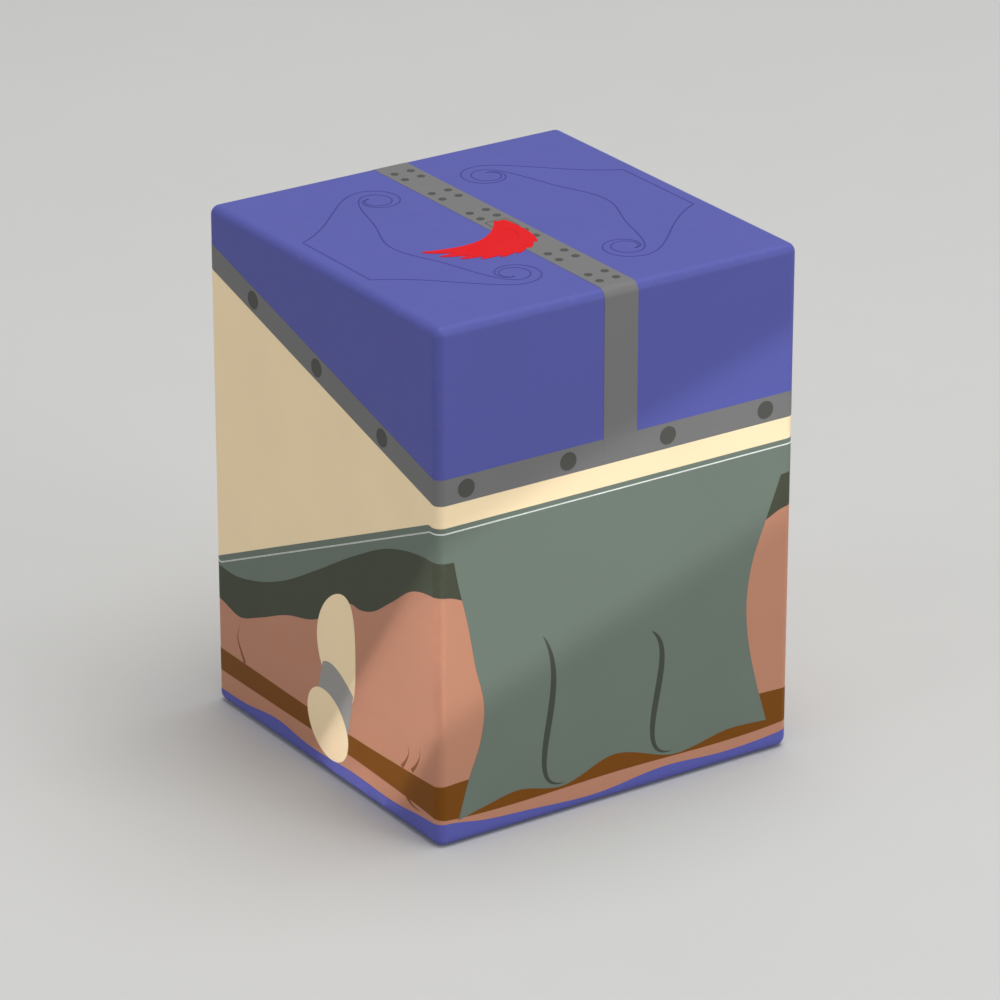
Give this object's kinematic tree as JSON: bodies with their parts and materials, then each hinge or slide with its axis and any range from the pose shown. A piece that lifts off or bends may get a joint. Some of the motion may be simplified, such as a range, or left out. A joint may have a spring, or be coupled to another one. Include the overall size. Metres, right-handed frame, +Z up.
{
  "type": "card deck box",
  "caption": "Two-part plastic deck box for trading cards: a printed lid pulls straight up off a card tray bonded in a printed base, meeting along a slanted seam.",
  "frame": {"origin": "middle of the underside, on the surface the box stands on", "axes": "+Z up, along the lid's pull; -Y is the front, where the base is tallest; +X is to the right seen from the front"},
  "size_m": [0.0802, 0.0792, 0.103],
  "materials": {
    "white_shell": "moulded white plastic, fine satin grain",
    "tray_plastic": "moulded off-white plastic, matt grain",
    "lid_print": "satin printed skin, blue with grey bands and cream fields",
    "base_print": "satin printed skin, grey-green, terracotta and brown"
  },
  "bodies": {
    "base": {"base_shell": "white_shell", "base_print_skin": "base_print", "card_tray": "tray_plastic"},
    "lid": {"lid_shell": "white_shell", "lid_print_skin": "lid_print"}
  },
  "joints": [
    {"name": "lid_lift", "type": "slide", "parent": "base", "child": "lid", "axis": [0, 0, 1], "range_m": [0, 0.075]}
  ]
}
